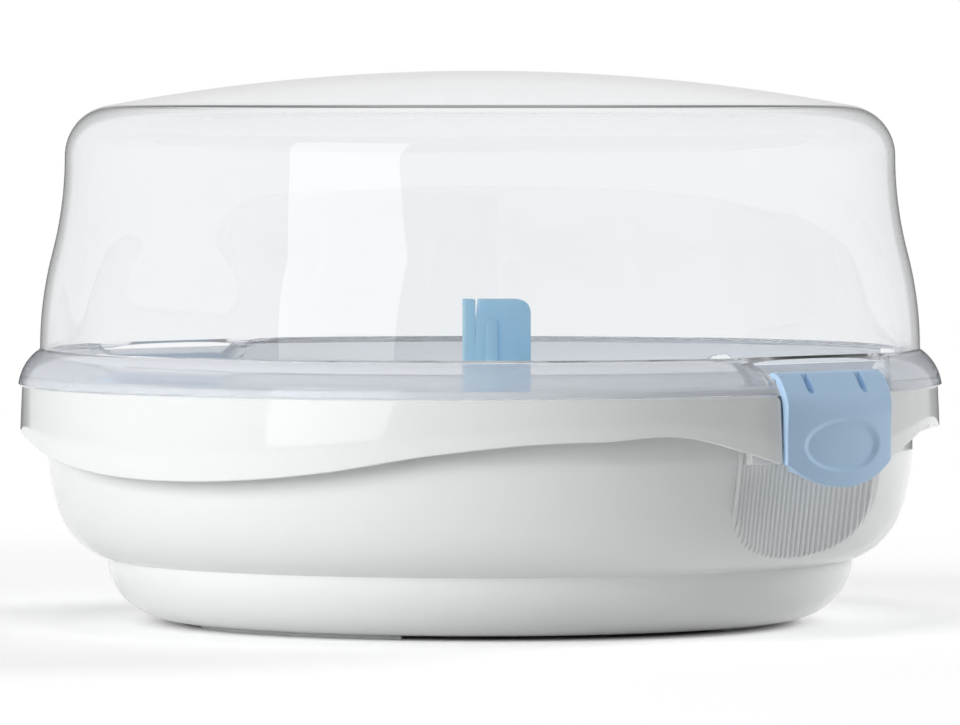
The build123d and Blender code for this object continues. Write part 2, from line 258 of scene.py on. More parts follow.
def rounded(corners, radius, steps=3):
    """A closed outline with its corners rounded, by one radius or by a list with one for each."""
    radii = radius if isinstance(radius, (list, tuple)) else [radius] * len(corners)
    outline = []
    for index, corner in enumerate(corners):
        here = Vector(corner)
        before = (Vector(corners[index - 1]) - here).normalized()
        after = (Vector(corners[(index + 1) % len(corners)]) - here).normalized()
        if not radii[index]:
            outline.append(corner)
            continue
        half = before.angle(after) / 2
        start = here + before * radii[index] / tan(half)
        end = here + after * radii[index] / tan(half)
        outline += tangent_arc(start, end, -before, steps)[0]
    return outline


def trace(name, points, closed=False):
    """Extrudes one vertex through points in metres, and leaves all selected in edit mode."""
    bpy.ops.object.select_all(action="DESELECT")
    bpy.ops.mesh.primitive_plane_add(size=MM, location=points[0])
    piece = bpy.context.object
    piece.name = piece.data.name = name
    bpy.ops.object.transform_apply()
    bpy.ops.object.mode_set(mode="EDIT")
    bpy.ops.mesh.merge(type="CENTER")
    for here, there in zip(points, points[1:]):
        step = Vector(there) - Vector(here)
        bpy.ops.mesh.extrude_region_move(TRANSFORM_OT_translate={"value": step})
    bpy.ops.mesh.select_all(action="SELECT")
    if closed:
        bpy.ops.mesh.edge_face_add()
    return piece


def leave_edit():
    """Merges doubled points, turns the faces outwards and goes back to object mode."""
    bpy.ops.mesh.select_all(action="SELECT")
    bpy.ops.mesh.remove_doubles(threshold=0.002 * MM)
    bpy.ops.mesh.normals_make_consistent(inside=False)
    bpy.ops.object.mode_set(mode="OBJECT")
    return bpy.context.object


def spun(name, outline, segments, closed=False):
    """The outline of (radius, height) turned once round the Z axis."""
    points = [(r * MM, 0, z * MM) for r, z in outline]
    if closed:
        points.append(points[0])
    trace(name, points)
    bpy.ops.mesh.spin(steps=segments, angle=2 * pi, center=(0, 0, 0), axis=(0, 0, 1))
    return leave_edit()


def prism(name, outline, origin, right, up, depth):
    """The closed outline, drawn in the plane of right and up and made depth millimetres thick."""
    right, up = Vector(right), Vector(up)
    points = [(Vector(origin) + right * x + up * y) * MM for x, y in outline]
    trace(name, points, closed=True)
    out = right.cross(up) * depth * MM
    bpy.ops.mesh.extrude_region_move(TRANSFORM_OT_translate={"value": out})
    return leave_edit()


def block(name, low, high):
    """A plain box between two corners, used as a cutting tool."""
    bpy.ops.object.select_all(action="DESELECT")
    middle = (Vector(low) + Vector(high)) / 2 * MM
    bpy.ops.mesh.primitive_cube_add(size=1, location=middle)
    piece = bpy.context.object
    piece.name = name
    piece.scale = (Vector(high) - Vector(low)) * MM
    bpy.ops.object.transform_apply()
    return piece


def rod(name, radius, start, end, segments=48):
    """A round bar between two points."""
    start, end = Vector(start), Vector(end)
    bpy.ops.object.select_all(action="DESELECT")
    bpy.ops.mesh.primitive_cylinder_add(
        vertices=segments, radius=radius * MM, depth=(end - start).length * MM,
        location=(start + end) / 2 * MM, rotation=(end - start).to_track_quat("Z", "Y").to_euler(),
    )
    piece = bpy.context.object
    piece.name = name
    bpy.ops.object.transform_apply()
    return piece


def select_only(piece):
    """Selects one piece and makes it the active one."""
    bpy.ops.object.select_all(action="DESELECT")
    bpy.context.view_layer.objects.active = piece
    piece.select_set(True)


def face_outwards(piece):
    """Turns the faces of a closed shell, or all one way on an open sheet."""
    select_only(piece)
    bpy.ops.object.mode_set(mode="EDIT")
    bpy.ops.mesh.select_all(action="SELECT")
    bpy.ops.mesh.normals_make_consistent(inside=False)
    bpy.ops.object.mode_set(mode="OBJECT")


def apply(piece, kind, **settings):
    """Adds one modifier with its settings and applies it."""
    select_only(piece)
    modifier = piece.modifiers.new(kind.lower(), kind)
    for name, value in settings.items():
        setattr(modifier, name, value)
    bpy.ops.object.modifier_apply(modifier=modifier.name)


def combine(piece, operation, *tools):
    """Unites, cuts or intersects the piece with closed tools, which are used up."""
    for tool in tools:
        apply(piece, "BOOLEAN", operation=operation, object=tool, solver="MANIFOLD")
        bpy.data.objects.remove(tool)
    return piece


def twin(piece, name, turn):
    """A copy with its own mesh, turned round the Z axis by turn radians."""
    other = piece.copy()
    other.data = piece.data.copy()
    other.name = other.data.name = name
    bpy.context.collection.objects.link(other)
    other.data.transform(Matrix.Rotation(turn, 4, "Z"))
    return other


def joined(piece, *others):
    """Makes separate pieces one object."""
    select_only(piece)
    for other in others:
        other.select_set(True)
    bpy.ops.object.join()
    return piece


def bevel(piece, width, angle=40.0, segments=3):
    """Rounds the edges sharper than angle."""
    apply(
        piece, "BEVEL", width=width * MM, segments=segments, limit_method="ANGLE",
        angle_limit=radians(angle), harden_normals=False,
    )


def done(piece, name, body, material, slot, *nodes, smooth=30.0):
    """Names, shades, paints and files a finished piece."""
    piece.name = piece.data.name = name
    select_only(piece)
    bpy.ops.object.shade_smooth_by_angle(angle=radians(smooth))
    piece.data.materials.clear()
    piece.data.materials.append(material)
    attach(piece, body)
    if nodes:
        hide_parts(*nodes)


# Materials
plastic_ior = 1.49
# Bounces after which the clear and blue see-through walls let light straight through
most_bounces = 7.5


def colour(code):
    """Linear RGBA of an sRGB hex colour."""
    shares = [int(code[i:i + 2], 16) / 255 for i in (1, 3, 5)]
    return (*[s / 12.92 if s <= 0.04045 else ((s + 0.055) / 1.055) ** 2.4 for s in shares], 1)


def node(tree, kind, settings=None, *ordered, **named):
    """Adds a node. Settings are attributes, or inputs by name.

    The rest are the sockets that feed its inputs, in order or by name.
    """
    made = tree.nodes.new(kind)
    for name, value in (settings or {}).items():
        if name in made.inputs:
            made.inputs[name].default_value = value
        else:
            setattr(made, name, value)
    for place, socket in enumerate(ordered):
        tree.links.new(socket, made.inputs[place])
    for name, socket in named.items():
        tree.links.new(socket, made.inputs[name.replace("_", " ")])
    return made


def new_material(name):
    """An empty node material and its output node."""
    material = bpy.data.materials.new(name)
    material.use_nodes = True
    tree = material.node_tree
    tree.nodes.clear()
    return material, tree, tree.nodes.new("ShaderNodeOutputMaterial")


def moulded_white():
    """White polypropylene, injection moulded in a polished tool: a soft gloss over a milky body."""
    material, tree, output = new_material("white_polypropylene")
    place = node(tree, "ShaderNodeTexCoord").outputs["Object"]
    # Flow marks, about 60 mm across, hardly change the gloss
    flow = node(
        tree, "ShaderNodeTexNoise", {"Scale": 1 / (60 * MM), "Detail": 2.0}, Vector=place,
    )
    gloss = node(
        tree, "ShaderNodeMapRange", {"To Min": 0.05, "To Max": 0.07}, Value=flow.outputs["Fac"],
    )
    # The skin's faint unevenness, 0.4 mm across, drawn at twice that so that it shows
    grain = node(
        tree, "ShaderNodeTexNoise", {"Scale": 1 / (0.8 * MM), "Detail": 1.0}, Vector=place,
    )
    relief = node(
        tree, "ShaderNodeBump", {"Strength": 0.03, "Distance": 0.02 * MM},
        Height=grain.outputs["Fac"],
    )
    skin = node(
        tree, "ShaderNodeBsdfPrincipled",
        {"Base Color": colour("#EEF0F0"), "IOR": plastic_ior},
        Roughness=gloss.outputs["Result"], Normal=relief.outputs["Normal"],
    )
    tree.links.new(skin.outputs["BSDF"], output.inputs["Surface"])
    return material


def moulded_blue():
    """Steel-blue polypropylene from a satin tool, opaque."""
    material, tree, output = new_material("blue_polypropylene")
    place = node(tree, "ShaderNodeTexCoord").outputs["Object"]
    # The pigment's clouding, about 18 mm across
    cloud = node(
        tree, "ShaderNodeTexNoise", {"Scale": 1 / (18 * MM), "Detail": 3.0}, Vector=place,
    )
    tint = node(
        tree, "ShaderNodeMix",
        {"data_type": "RGBA", "A": colour("#BDDDFC"), "B": colour("#C6E3FE")},
        Factor=cloud.outputs["Fac"],
    )
    # The satin tool's grain, about 0.1 mm, drawn at 0.5 mm so that it shows
    grain = node(
        tree, "ShaderNodeTexNoise", {"Scale": 1 / (0.5 * MM), "Detail": 2.0}, Vector=place,
    )
    relief = node(
        tree, "ShaderNodeBump", {"Strength": 0.12, "Distance": 0.03 * MM},
        Height=grain.outputs["Fac"],
    )
    gloss = node(
        tree, "ShaderNodeMapRange", {"To Min": 0.3, "To Max": 0.4}, Value=cloud.outputs["Fac"],
    )
    skin = node(
        tree, "ShaderNodeBsdfPrincipled", {"IOR": plastic_ior}, Base_Color=tint.outputs["Result"],
        Roughness=gloss.outputs["Result"], Normal=relief.outputs["Normal"],
    )
    tree.links.new(skin.outputs["BSDF"], output.inputs["Surface"])
    return material


def see_through(tree, skin, output, tint):
    """Lets lamps and soft bounced light through a clear skin, so that what it covers stays lit.

    Light that has bounced many times passes too, as small faults in the real plastic let it out.
    """
    path = node(tree, "ShaderNodeLightPath").outputs
    soft = node(
        tree, "ShaderNodeMath", {"operation": "MAXIMUM"},
        path["Is Shadow Ray"], path["Is Diffuse Ray"],
    )
    long_run = node(tree, "ShaderNodeMath", {"operation": "GREATER_THAN"}, path["Ray Depth"])
    long_run.inputs[1].default_value = most_bounces
    passing = node(
        tree, "ShaderNodeMath", {"operation": "MAXIMUM"}, soft.outputs[0], long_run.outputs[0],
    )
    open_air = node(tree, "ShaderNodeBsdfTransparent", {"Color": colour(tint)})
    mix = node(
        tree, "ShaderNodeMixShader", {},
        passing.outputs[0], skin.outputs["BSDF"], open_air.outputs["BSDF"],
    )
    tree.links.new(mix.outputs["Shader"], output.inputs["Surface"])


def clear_lid():
    """Clarified polypropylene: clear in the polished wall, milky where the skirt flares."""
    material, tree, output = new_material("clear_polypropylene")
    place = node(tree, "ShaderNodeTexCoord").outputs["Object"]
    height = node(tree, "ShaderNodeSeparateXYZ", Vector=place)
    milk = node(
        tree, "ShaderNodeMapRange",
        {"From Min": (skirt_top - milk_start) * MM, "From Max": (skirt_top - milk_full) * MM},
        Value=height.outputs["Z"],
    ).outputs["Result"]
    rough = node(tree, "ShaderNodeMapRange", {"To Min": 0.015, "To Max": 0.025}, Value=milk)
    clearness = node(tree, "ShaderNodeMapRange", {"To Min": 1.0, "To Max": 0.7}, Value=milk)
    tint = node(
        tree, "ShaderNodeMix",
        {"data_type": "RGBA", "A": colour("#FAFBFC"), "B": colour("#E8EBF0")}, Factor=milk,
    )
    skin = node(
        tree, "ShaderNodeBsdfPrincipled", {"IOR": plastic_ior}, Base_Color=tint.outputs["Result"],
        Roughness=rough.outputs["Result"], Transmission_Weight=clearness.outputs["Result"],
    )
    see_through(tree, skin, output, "#FAFBFC")
    return material


def translucent_blue():
    """Blue-tinted clear polypropylene, glossy and a little cloudy inside."""
    material, tree, output = new_material("translucent_blue_polypropylene")
    place = node(tree, "ShaderNodeTexCoord").outputs["Object"]
    # Cloudiness inside the plastic, about 20 mm across, dulls the gloss in places
    cloud = node(
        tree, "ShaderNodeTexNoise", {"Scale": 1 / (20 * MM), "Detail": 2.0}, Vector=place,
    )
    rough = node(
        tree, "ShaderNodeMapRange", {"To Min": 0.08, "To Max": 0.16}, Value=cloud.outputs["Fac"],
    )
    skin = node(
        tree, "ShaderNodeBsdfPrincipled",
        {"Base Color": colour("#C6ECFD"), "IOR": plastic_ior, "Transmission Weight": 0.55},
        Roughness=rough.outputs["Result"],
    )
    see_through(tree, skin, output, "#B8DEF6")
    return material


white = moulded_white()
blue = moulded_blue()
clear = clear_lid()
tongs_blue = translucent_blue()


# Base
def bowl_outline(top, inset):
    """Bowl from the middle of its floor to the height top, filled to the axis."""
    lower, _ = tangent_arc(
        (floor_radius, foot_height + inset), (tier_radius - inset, tier_height), (1, 0), 14,
    )
    heading = (cos(radians(tier_slope)), sin(radians(tier_slope)))
    tier, heading = tangent_arc((tier_radius, tier_height), knee, heading, 14, inset)
    side, _ = tangent_arc(knee, (bowl_radius, bowl_radius_height), heading, 14, inset)
    outline = [(0, foot_height + inset), *lower]
    if inset:
        outline.append((tier_radius - inset, tier[0][1]))
    outline += [*tier[0 if inset else 1:], *side[1:]]
    return outline + [
        (bowl_radius - inset, bowl_radius_height + max(inset, bowl_straight)),
        (bowl_radius - inset, top), (0, top),
    ]


def scoop(inset, rib_count):
    """The space in front of one finger scoop, its surface moved in by inset, round its ribs."""
    middle = (scoop_bottom + scoop_top) / 2
    above_middle = landing_bottom - middle
    x_dir = Vector((cos(scoop_slant), 0, -sin(scoop_slant)))
    z_dir = Vector((sin(scoop_slant), 0, cos(scoop_slant)))
    centre = Vector((
        scoop_distance - inset + scoop_curve / cos(scoop_slant) - above_middle * tan(scoop_slant),
        0, middle,
    ))
    limit = asin((scoop_half_width + scoop_margin) / scoop_curve)
    outline = [(scoop_curve * -cos(limit), scoop_curve * -sin(limit))]
    for rib in range(rib_count):
        turn = grip_rib_pitch / scoop_curve * (rib - (rib_count - 1) / 2)
        for step in range(9):
            a = turn - pi / 2 + pi * step / 8
            outline.append((
                -scoop_curve * cos(turn) + grip_rib_radius * cos(a),
                scoop_curve * sin(turn) + grip_rib_radius * sin(a),
            ))
    if not rib_count:
        outline += [
            (-scoop_curve * cos(limit * step / 8), scoop_curve * sin(limit * step / 8))
            for step in range(-7, 8)
        ]
    outline += [
        (scoop_curve * -cos(limit), scoop_curve * sin(limit)),
        (-scoop_curve / 2, scoop_curve * sin(limit)), (-scoop_curve / 2, -scoop_curve * sin(limit)),
    ]
    space = prism(
        "scoop", outline, centre - z_dir * rim_height, x_dir, (0, 1, 0), 2 * rim_height,
    )
    combine(space, "INTERSECT", block(
        "reach", (0, -scoop_half_width, scoop_bottom), (far, scoop_half_width, scoop_top),
    ))
    return combine(space, "DIFFERENCE", block(
        "landing_room", (0, -landing_half_width, landing_bottom + inset),
        (far, landing_half_width, far),
    ))


def edge_depth(turn):
    """Depth of the band's edge below the rim, at an angle of up to a quarter turn from a clip."""
    along = band_radius * cos(turn)
    knots = [(band_radius * cos(radians(a)), depth) for a, depth in band_edge]
    slopes = [0.0]
    for before, here, after in zip(knots, knots[1:], knots[2:]):
        one = (here[1] - before[1]) / (here[0] - before[0])
        two = (after[1] - here[1]) / (after[0] - here[0])
        first, second = here[0] - before[0], after[0] - here[0]
        slopes.append((one * second + two * first) / (first + second))
    slopes.append(band_edge_end_slope)
    for index, (here, there) in enumerate(zip(knots, knots[1:])):
        if along <= there[0] or index == len(knots) - 2:
            step = there[0] - here[0]
            t = min((along - here[0]) / step, band_edge_overrun)
            return (
                (2 * t ** 3 - 3 * t ** 2 + 1) * here[1]
                + (t ** 3 - 2 * t ** 2 + t) * step * slopes[index]
                + (3 * t ** 2 - 2 * t ** 3) * there[1]
                + (t ** 3 - t ** 2) * step * slopes[index + 1]
            )


def rim_ring():
    """Flange, locating lip and hanging band, with the band's wavy edge and the gap at each clip."""
    lowest = rim_height - band_reach
    inner, outer = inner_corner_radius, edge_radius
    outline = rounded(
        [
            (bowl_radius - base_wall, rim_height),
            (lip_outer - lip_thickness, rim_height),
            (lip_outer - lip_thickness, rim_height + lip_rise),
            (lip_outer, rim_height + lip_rise),
            (lip_outer, rim_height),
            (band_top_radius, rim_height),
            (band_radius, lowest),
            (band_radius - band_thickness, lowest),
            (band_top_radius - band_thickness, rim_height - flange_thickness),
            (bowl_radius - base_wall, rim_height - flange_thickness),
        ],
        [0, inner, outer, outer, inner, outer, outer, outer, inner, 0],
    )
    ring = spun("rim_ring", outline, 360, closed=True)
    for vertex in ring.data.vertices:
        x, y, z = vertex.co / MM
        if z < lowest + band_thickness:
            turn = atan2(abs(y), abs(x))
            lifted = z - lowest + rim_height - edge_depth(turn)
            cone = (band_radius - band_top_radius) * (lifted - z) / band_reach
            share = (hypot(x, y) - cone) / hypot(x, y)
            vertex.co = Vector((x * share, y * share, lifted)) * MM
    end = rim_height - edge_depth(asin(band_gap / band_radius))
    corner = band_end_radius
    outline = [
        (band_gap + corner, far), *tangent_arc(
            (band_gap + corner, rim_height), (band_gap, rim_height - corner), (-1, 0), 6,
        )[0],
        *tangent_arc((band_gap, end + corner), (band_gap + corner, end), (0, -1), 6)[0],
        (band_gap + corner, 0),
    ]
    outline += [(-y, z) for y, z in reversed(outline)]
    gap = prism("clip_gap", outline, (bowl_radius, 0, 0), (0, 1, 0), (0, 0, 1), far)
    return combine(ring, "DIFFERENCE", gap, twin(gap, "other_gap", pi))


def sector(name, inner, outer, middle, half_span, low, high):
    """Part of a flat ring, between two radii and two heights, centred on an angle in degrees."""
    steps = 24
    turns = [radians(middle + half_span * (2 * step / steps - 1)) for step in range(steps + 1)]
    outline = [(outer * cos(a), outer * sin(a)) for a in turns]
    outline += [(inner * cos(a), inner * sin(a)) for a in reversed(turns)]
    return prism(name, outline, (0, 0, low), (1, 0, 0), (0, 1, 0), high - low)


def landing(middle):
    """Shelf behind one clip."""
    half_span = asin(landing_half_width / landing_radius) * 180 / pi
    shelf = sector(
        "landing", bowl_radius - base_wall - landing_root, landing_radius, middle, half_span,
        landing_bottom, rim_height - flange_thickness / 2,
    )
    bevel(shelf, edge_radius, 60)
    return shelf


def make_base():
    """The white bowl: one moulding."""
    bowl = spun("bowl", bowl_outline(rim_height - flange_thickness / 2, 0), 360)
    grip = scoop(0, grip_rib_count)
    combine(bowl, "DIFFERENCE", twin(grip, "grip", pi), grip)
    combine(bowl, "UNION", landing(0), landing(180), rim_ring())
    for angle in foot_angles:
        foot = sector(
            "foot", foot_radius - foot_width, foot_radius, angle, foot_half_span, 0,
            foot_height + base_wall / 2,
        )
        bevel(foot, foot_edge)
        combine(bowl, "UNION", foot)
    cavity = spun("cavity", bowl_outline(far, base_wall), 360)
    wall = scoop(base_wall, 0)
    combine(cavity, "DIFFERENCE", twin(wall, "wall", pi), wall)
    combine(bowl, "DIFFERENCE", cavity)
    done(bowl, "bowl_moulding", "base", white, "white_plastic", "base")


# Lid
def lid_outline(bottom, inset):
    """Lid from the height bottom up to its top, filled to the axis."""
    skirt, _ = tangent_arc(
        (lid_radius, rim_height), (skirt_top_radius, skirt_top), (-skirt_lean, 1), 12, inset,
    )
    middle = ((skirt_top_radius + shoulder_radius) / 2, (skirt_top + shoulder_height) / 2)
    shoulder = (shoulder_radius, shoulder_height)
    bulge, heading = tangent_arc((skirt_top_radius, skirt_top), middle, (0, 1), 20, inset)
    waist, heading = tangent_arc(middle, shoulder, heading, 20, inset)
    corner, heading = tangent_arc(shoulder, dome_edge, heading, 16, inset)
    dome, _ = tangent_arc(dome_edge, (0, lid_top), heading, 24, inset)
    if inset:
        foot = [(0, bottom), (skirt[0][0], bottom)]
        ledge = [(bulge[0][0], skirt[-1][1])]
    else:
        foot = [(0, bottom), (lid_radius - edge_radius, bottom)]
        skirt[0] = (lid_radius - skirt_lean * edge_radius, rim_height + edge_radius)
        ledge = []
    return [*foot, *skirt, *ledge, *bulge[0 if inset else 1:], *waist[1:], *corner[1:], *dome[1:]]


def flatten(piece, inset):
    """Pulls the wall above each clip back to its upright flat, with a softly rounded border."""
    for vertex in piece.data.vertices:
        x, _, z = vertex.co / MM
        if z < skirt_top - inset * 0.5 or x == 0:
            continue
        rise = (z - flat_bottom) / (shoulder_height - flat_bottom)
        limit = flat_distance - inset - flat_draft * rise
        over = abs(x) - limit
        near = max(flat_edge_blend - abs(over), 0) / flat_edge_blend
        pull = max(over, 0) + near ** 2 * flat_edge_blend / 4
        vertex.co.x = (abs(x) - pull) * (1 if x > 0 else -1) * MM


def beyond_gap(inset):
    """Everything outside the flat within the gap that the skirt leaves for one clip."""
    half = lid_gap + inset
    radius = skirt_end_radius - inset
    top = skirt_top - inset
    outline = [(half, 0), *tangent_arc((half, top - radius), (half + radius, top), (0, 1), 10)[0]]
    outline += [(-y, z) for y, z in reversed(outline)]
    gap = prism("skirt_gap", outline, (0, 0, 0), (0, 1, 0), (0, 0, 1), far)
    rise = (skirt_top - flat_bottom) / (shoulder_height - flat_bottom)
    face = flat_distance - inset
    slab = prism(
        "outside", [
            (face, 0), (face, flat_bottom), (face - flat_draft * rise, skirt_top),
            (far, skirt_top), (far, 0),
        ],
        (0, far / 2, 0), (1, 0, 0), (0, 0, 1), far,
    )
    return combine(gap, "INTERSECT", slab)


def make_lid():
    """The clear lid with the two bars that the clips hinge on: one moulding."""
    lid = spun("lid_body", lid_outline(rim_height, 0), 400)
    flatten(lid, 0)
    gap = beyond_gap(0)
    combine(lid, "DIFFERENCE", twin(gap, "gap", pi), gap)
    hollow = spun("lid_hollow", lid_outline(rim_height - cutter_reach, lid_wall), 400)
    flatten(hollow, lid_wall)
    gap = beyond_gap(lid_wall)
    combine(hollow, "DIFFERENCE", twin(gap, "gap", pi), gap)
    room = rod(
        "lip_room", lip_outer + lip_clearance, (0, 0, rim_height - 2 * cutter_reach),
        (0, 0, flat_bottom), 360,
    )
    combine(hollow, "UNION", room)
    combine(lid, "DIFFERENCE", hollow)
    half = lid_gap + lid_wall / 2
    bar = rod("bar", hinge_bar_radius, (hinge_x, -half, hinge_z), (hinge_x, half, hinge_z), 32)
    combine(lid, "UNION", joined(bar, twin(bar, "other_bar", pi)))
    done(lid, "lid_moulding", "lid", clear, "clear_plastic", "lid", smooth=28)


# Clips
def leaf_point(across, down):
    """Outer surface of the clip: across from -1 to 1 over its width, down from 0 to 1."""
    y = across * clip_width / 2
    face = sqrt(clip_face ** 2 - y * y)
    bend = rim_height - clip_bend_depth
    start = (hinge_x + knuckle_radius * cos(leaf_angle), hinge_z + knuckle_radius * sin(leaf_angle))
    side_end = rim_height - clip_side_depth
    sag = clip_depth - clip_side_depth
    radius = (sag ** 2 + (clip_width / 2) ** 2) / (2 * sag)
    bottom = side_end - sag + radius - sqrt(radius ** 2 - y * y)
    if down < bend_share:
        t = down / bend_share
        u = 1 - t
        pull = 0.5 * hypot(face - start[0], start[1] - bend)
        one = (start[0] + pull * sin(leaf_angle), start[1] - pull * cos(leaf_angle))
        two = (face, bend + pull)
        x, z = (
            u ** 3 * a + 3 * u * u * t * b + 3 * u * t * t * c + t ** 3 * d
            for a, b, c, d in zip(start, one, two, (face, bend))
        )
    else:
        x, z = face, bend + (bottom - bend) * (down - bend_share) / (1 - bend_share)
    off = hypot(
        y / (dimple_width / 2), (z - rim_height + dimple_depth_below_rim) / (dimple_height / 2),
    )
    t = min(max((1 - off) * dimple_height / 2 / dimple_edge + 0.5, 0), 1)
    return x - dimple_sink * t * t * (3 - 2 * t), y, z


def clip_leaf():
    """The clip's curved plate: a fine grid laid on its outer surface and thickened inwards."""
    bpy.ops.object.select_all(action="DESELECT")
    bpy.ops.mesh.primitive_grid_add(x_subdivisions=110, y_subdivisions=90, size=2)
    leaf = bpy.context.object
    for vertex in leaf.data.vertices:
        across, down, _ = vertex.co
        vertex.co = Vector(leaf_point(across, (1 - down) / 2)) * MM
    face_outwards(leaf)
    middle = leaf.data.polygons[len(leaf.data.polygons) // 2]
    inwards = -1 if middle.normal.x > 0 else 1
    apply(leaf, "SOLIDIFY", thickness=clip_thickness * MM, offset=inwards, use_even_offset=True)
    face_outwards(leaf)
    bevel(leaf, leaf_edge, 60, 4)
    return leaf


def make_clips():
    """Both clips, the left one turned half round: leaf, knuckle and catch in one moulding each."""
    clip = clip_leaf()
    half = clip_width / 2
    knuckle = rod(
        "knuckle", knuckle_radius, (hinge_x, -half, hinge_z), (hinge_x, half, hinge_z), 64,
    )
    bevel(knuckle, knuckle_edge, 60)
    catch_top = rim_height - catch_depth
    root = clip_face - clip_thickness + catch_root
    catch = prism(
        "catch", [
            (root, catch_top), (landing_radius + catch_clearance, catch_top),
            (landing_radius + catch_clearance, catch_top - catch_height / 2),
            (root, catch_top - catch_height),
        ],
        (0, catch_half_width, 0), (1, 0, 0), (0, 0, 1), 2 * catch_half_width,
    )
    bevel(catch, catch_edge)
    combine(clip, "UNION", knuckle, catch)
    bore = rod(
        "bore", hinge_bar_radius + running_clearance, (hinge_x, -half - bore_margin, hinge_z),
        (hinge_x, half + bore_margin, hinge_z), 48,
    )
    combine(clip, "DIFFERENCE", bore)
    for side in (-1, 1):
        low, wide = rim_height + window_rise, window_width / 2
        outline = [
            *tangent_arc((-wide, low + wide), (wide, low + wide), (0, -1), 10)[0],
            (wide, far / 2), (-wide, far / 2),
        ]
        window = prism(
            "window", outline,
            (hinge_x + hinge_bar_radius + window_wall, side * window_offset, 0),
            (0, 1, 0), (0, 0, 1), far,
        )
        combine(clip, "DIFFERENCE", window)
    other = twin(clip, "clip_left", pi)
    done(clip, "clip_moulding_right", "clip_right", blue, "blue_plastic", "clip_right")
    done(other, "clip_moulding_left", "clip_left", blue, "blue_plastic", "clip_left")


# Tongs
def tongs_arm(side):
    """One arm of the tongs, side -1 in front and 1 behind: a plate with a slit, and a rib on it."""
    left, right = tongs_offset - tongs_width / 2, tongs_offset + tongs_width / 2
    front = -tongs_across
    corner, _ = tangent_arc(
        (right, arm_top - arm_corner), (right - arm_corner, arm_top), (0, 1), 8,
    )
    outline = [
        (left, arm_bottom), (right, arm_bottom), *corner,
        (left + tine_width + slit_width, arm_top),
        (left + tine_width, arm_top - slit_depth),
        (left + tine_width - slit_lean, arm_top), (left, arm_top),
    ]
    near = tongs_depth / 2 - tongs_thickness if side < 0 else -tongs_depth / 2
    arm = prism("arm", outline, front * near, tongs_along, (0, 0, 1), tongs_thickness)
    bevel(arm, tongs_edge, 50)
    low, high = arm_bottom + arm_rib_foot, arm_top - arm_rib_sink
    middle, half = tongs_offset - arm_rib_width / 2, arm_rib_width / 2
    outline = rounded(
        [(middle - half, low), (middle + half, low), (middle + half, high), (middle - half, high)],
        arm_rib_width / 3, 6,
    )
    near = tongs_depth / 2 - arm_rib_overlap if side < 0 else -tongs_depth / 2 - arm_rib_height
    rib = prism(
        "rib", outline, front * near, tongs_along, (0, 0, 1), arm_rib_height + arm_rib_overlap,
    )
    bevel(rib, arm_rib_edge, 50, 2)
    return combine(arm, "UNION", rib)


def make_tongs():
    """Blue tongs standing in the tray: an arm at each side of the bow that they spring on."""
    for name, side in (("front", -1), ("rear", 1)):
        done(
            tongs_arm(side), f"tongs_{name}_arm", f"tongs_arm_{name}", tongs_blue,
            "tongs_plastic", f"tongs_arm_{name}",
        )
    outer, inner = tongs_depth / 2, tongs_depth / 2 - tongs_thickness
    middle = tongs_bottom + outer
    top = tongs_bottom + bow_height
    outline = [(-outer, top)]
    outline += [(-outer * cos(pi * s / 24), middle - outer * sin(pi * s / 24)) for s in range(25)]
    outline += [(outer, top), (inner, top)]
    outline += [(inner * cos(pi * s / 16), middle - inner * sin(pi * s / 16)) for s in range(17)]
    outline += [(-inner, top)]
    bow = prism(
        "bow", outline, tongs_along * (tongs_offset - tongs_width / 2), tongs_across, (0, 0, 1),
        tongs_width,
    )
    bevel(bow, tongs_edge, 50)
    done(bow, "tongs_bend", "tongs", tongs_blue, "tongs_plastic", "tongs_bow")


# Tray
def slot(length, turn, centre):
    """Cutter for one steam slot, flared where it leaves the tray's top so that its edge is soft."""
    half, radius = length / 2 - steam_slot_width / 2, steam_slot_width / 2
    turns = [pi * (step / 6 - 0.5) for step in range(7)]
    outline = [(half + radius * cos(a), radius * sin(a)) for a in turns]
    outline += [(-x, -y) for x, y in outline]
    right = Vector((cos(turn), sin(turn), 0))
    up = Vector((-sin(turn), cos(turn), 0))
    place = Vector((*centre, tray_height - slot_margin))
    points = [(place + right * x + up * y) * MM for x, y in outline]
    trace("slot", points, closed=True)
    over = slot_margin - slot_flare
    stages = ((tray_thickness + over, 0), (slot_flare, slot_flare), (over, slot_flare))
    for rise, growth in stages:
        bpy.ops.mesh.extrude_region_move(TRANSFORM_OT_translate={"value": (0, 0, rise * MM)})
        wider = 1 + growth * 2 / steam_slot_width
        bpy.ops.transform.resize(
            value=(wider, wider, 1), center_override=place * MM, orient_type="GLOBAL",
        )
    return leave_edit()


def post(name, radius, low, high, blend):
    """A round post on the Z axis with a rounded top."""
    outline = [(0, low), (radius, low), *tangent_arc(
        (radius, high - blend), (radius - blend, high), (0, 1), 6,
    )[0], (0, high)]
    return spun(name, outline, 40)


def moved_to(piece, x, y):
    """Moves a new piece in its mesh, so that its object stays at the origin."""
    piece.data.transform(Matrix.Translation((x * MM, y * MM, 0)))
    return piece


def rectangle(half_length, half_depth):
    """Corners of a rectangle round the origin."""
    return [
        (-half_length, -half_depth), (half_length, -half_depth),
        (half_length, half_depth), (-half_length, half_depth),
    ]


